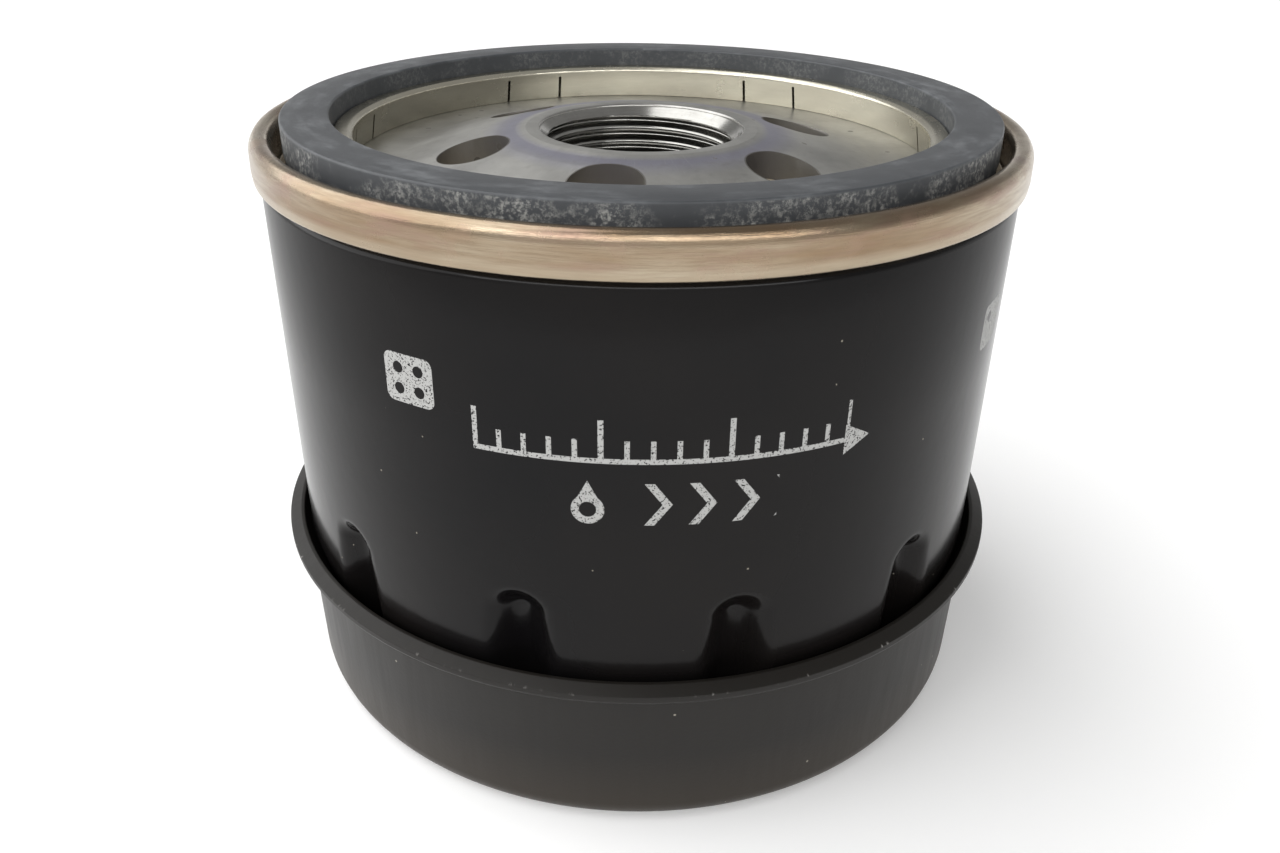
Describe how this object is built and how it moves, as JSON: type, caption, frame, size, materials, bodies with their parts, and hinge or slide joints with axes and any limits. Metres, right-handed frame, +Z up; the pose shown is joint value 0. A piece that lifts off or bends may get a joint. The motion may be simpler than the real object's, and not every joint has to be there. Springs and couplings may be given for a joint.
{
  "type": "spin-on oil filter with drip cup",
  "caption": "Spin-on engine oil filter, black can with wrench flutes, tinned rolled seam, threaded tapping plate and square gasket, standing gasket up in a loose black plastic cup.",
  "frame": {"origin": "centre of the bottom of the drip cup", "axes": "+Z up along the filter's axis, out of the threaded hub; -Y is the side that faces the viewer"},
  "size_m": [0.0804, 0.0804, 0.0612],
  "materials": {
    "cup_plastic": "satin",
    "can_paint": "gloss",
    "tinplate": "satin",
    "sealing_compound": "matte",
    "plate_steel": "satin",
    "gasket_rubber": "matte",
    "valve_silicone": "satin",
    "bright_steel": "satin",
    "black_rubber": "matte",
    "end_cap_tin": "satin",
    "potting": "gloss",
    "filter_paper": "matte",
    "valve_plate": "satin",
    "spring_steel": "satin"
  },
  "bodies": {
    "cup": {"drip_cup": "cup_plastic"},
    "filter": {"can": "can_paint", "seaming_lid": "tinplate", "seam_sealant": "sealing_compound", "tapping_plate": "plate_steel", "sealing_gasket": "gasket_rubber", "valve_retainer": "bright_steel", "outlet_collar": "black_rubber", "upper_end_cap": "end_cap_tin", "upper_potting": "potting", "pleated_medium": "filter_paper", "media_seam_clip": "bright_steel", "centre_tube": "bright_steel", "lower_potting": "potting", "lower_end_cap": "end_cap_tin", "bypass_cage": "bright_steel", "bypass_spring": "spring_steel", "element_spring": "spring_steel"},
    "drain_valve": {"anti_drain_valve": "valve_silicone"},
    "bypass_valve": {"bypass_disc": "valve_plate", "bypass_seal": "black_rubber"}
  },
  "joints": [
    {"name": "filter_lift", "type": "slide", "parent": "cup", "child": "filter", "axis": [0, 0, 1], "range_m": [0, 0.025]},
    {"name": "drain_valve_open", "type": "slide", "parent": "filter", "child": "drain_valve", "axis": [0, 0, -1], "range_m": [0, 0.0012], "stiffness_N_per_m": 300, "springref_m": -0.0007},
    {"name": "bypass_open", "type": "slide", "parent": "filter", "child": "bypass_valve", "axis": [0, 0, 1], "range_m": [0, 0.003], "stiffness_N_per_m": 3000, "springref_m": -0.005, "deforming": ["bypass_spring"]}
  ]
}
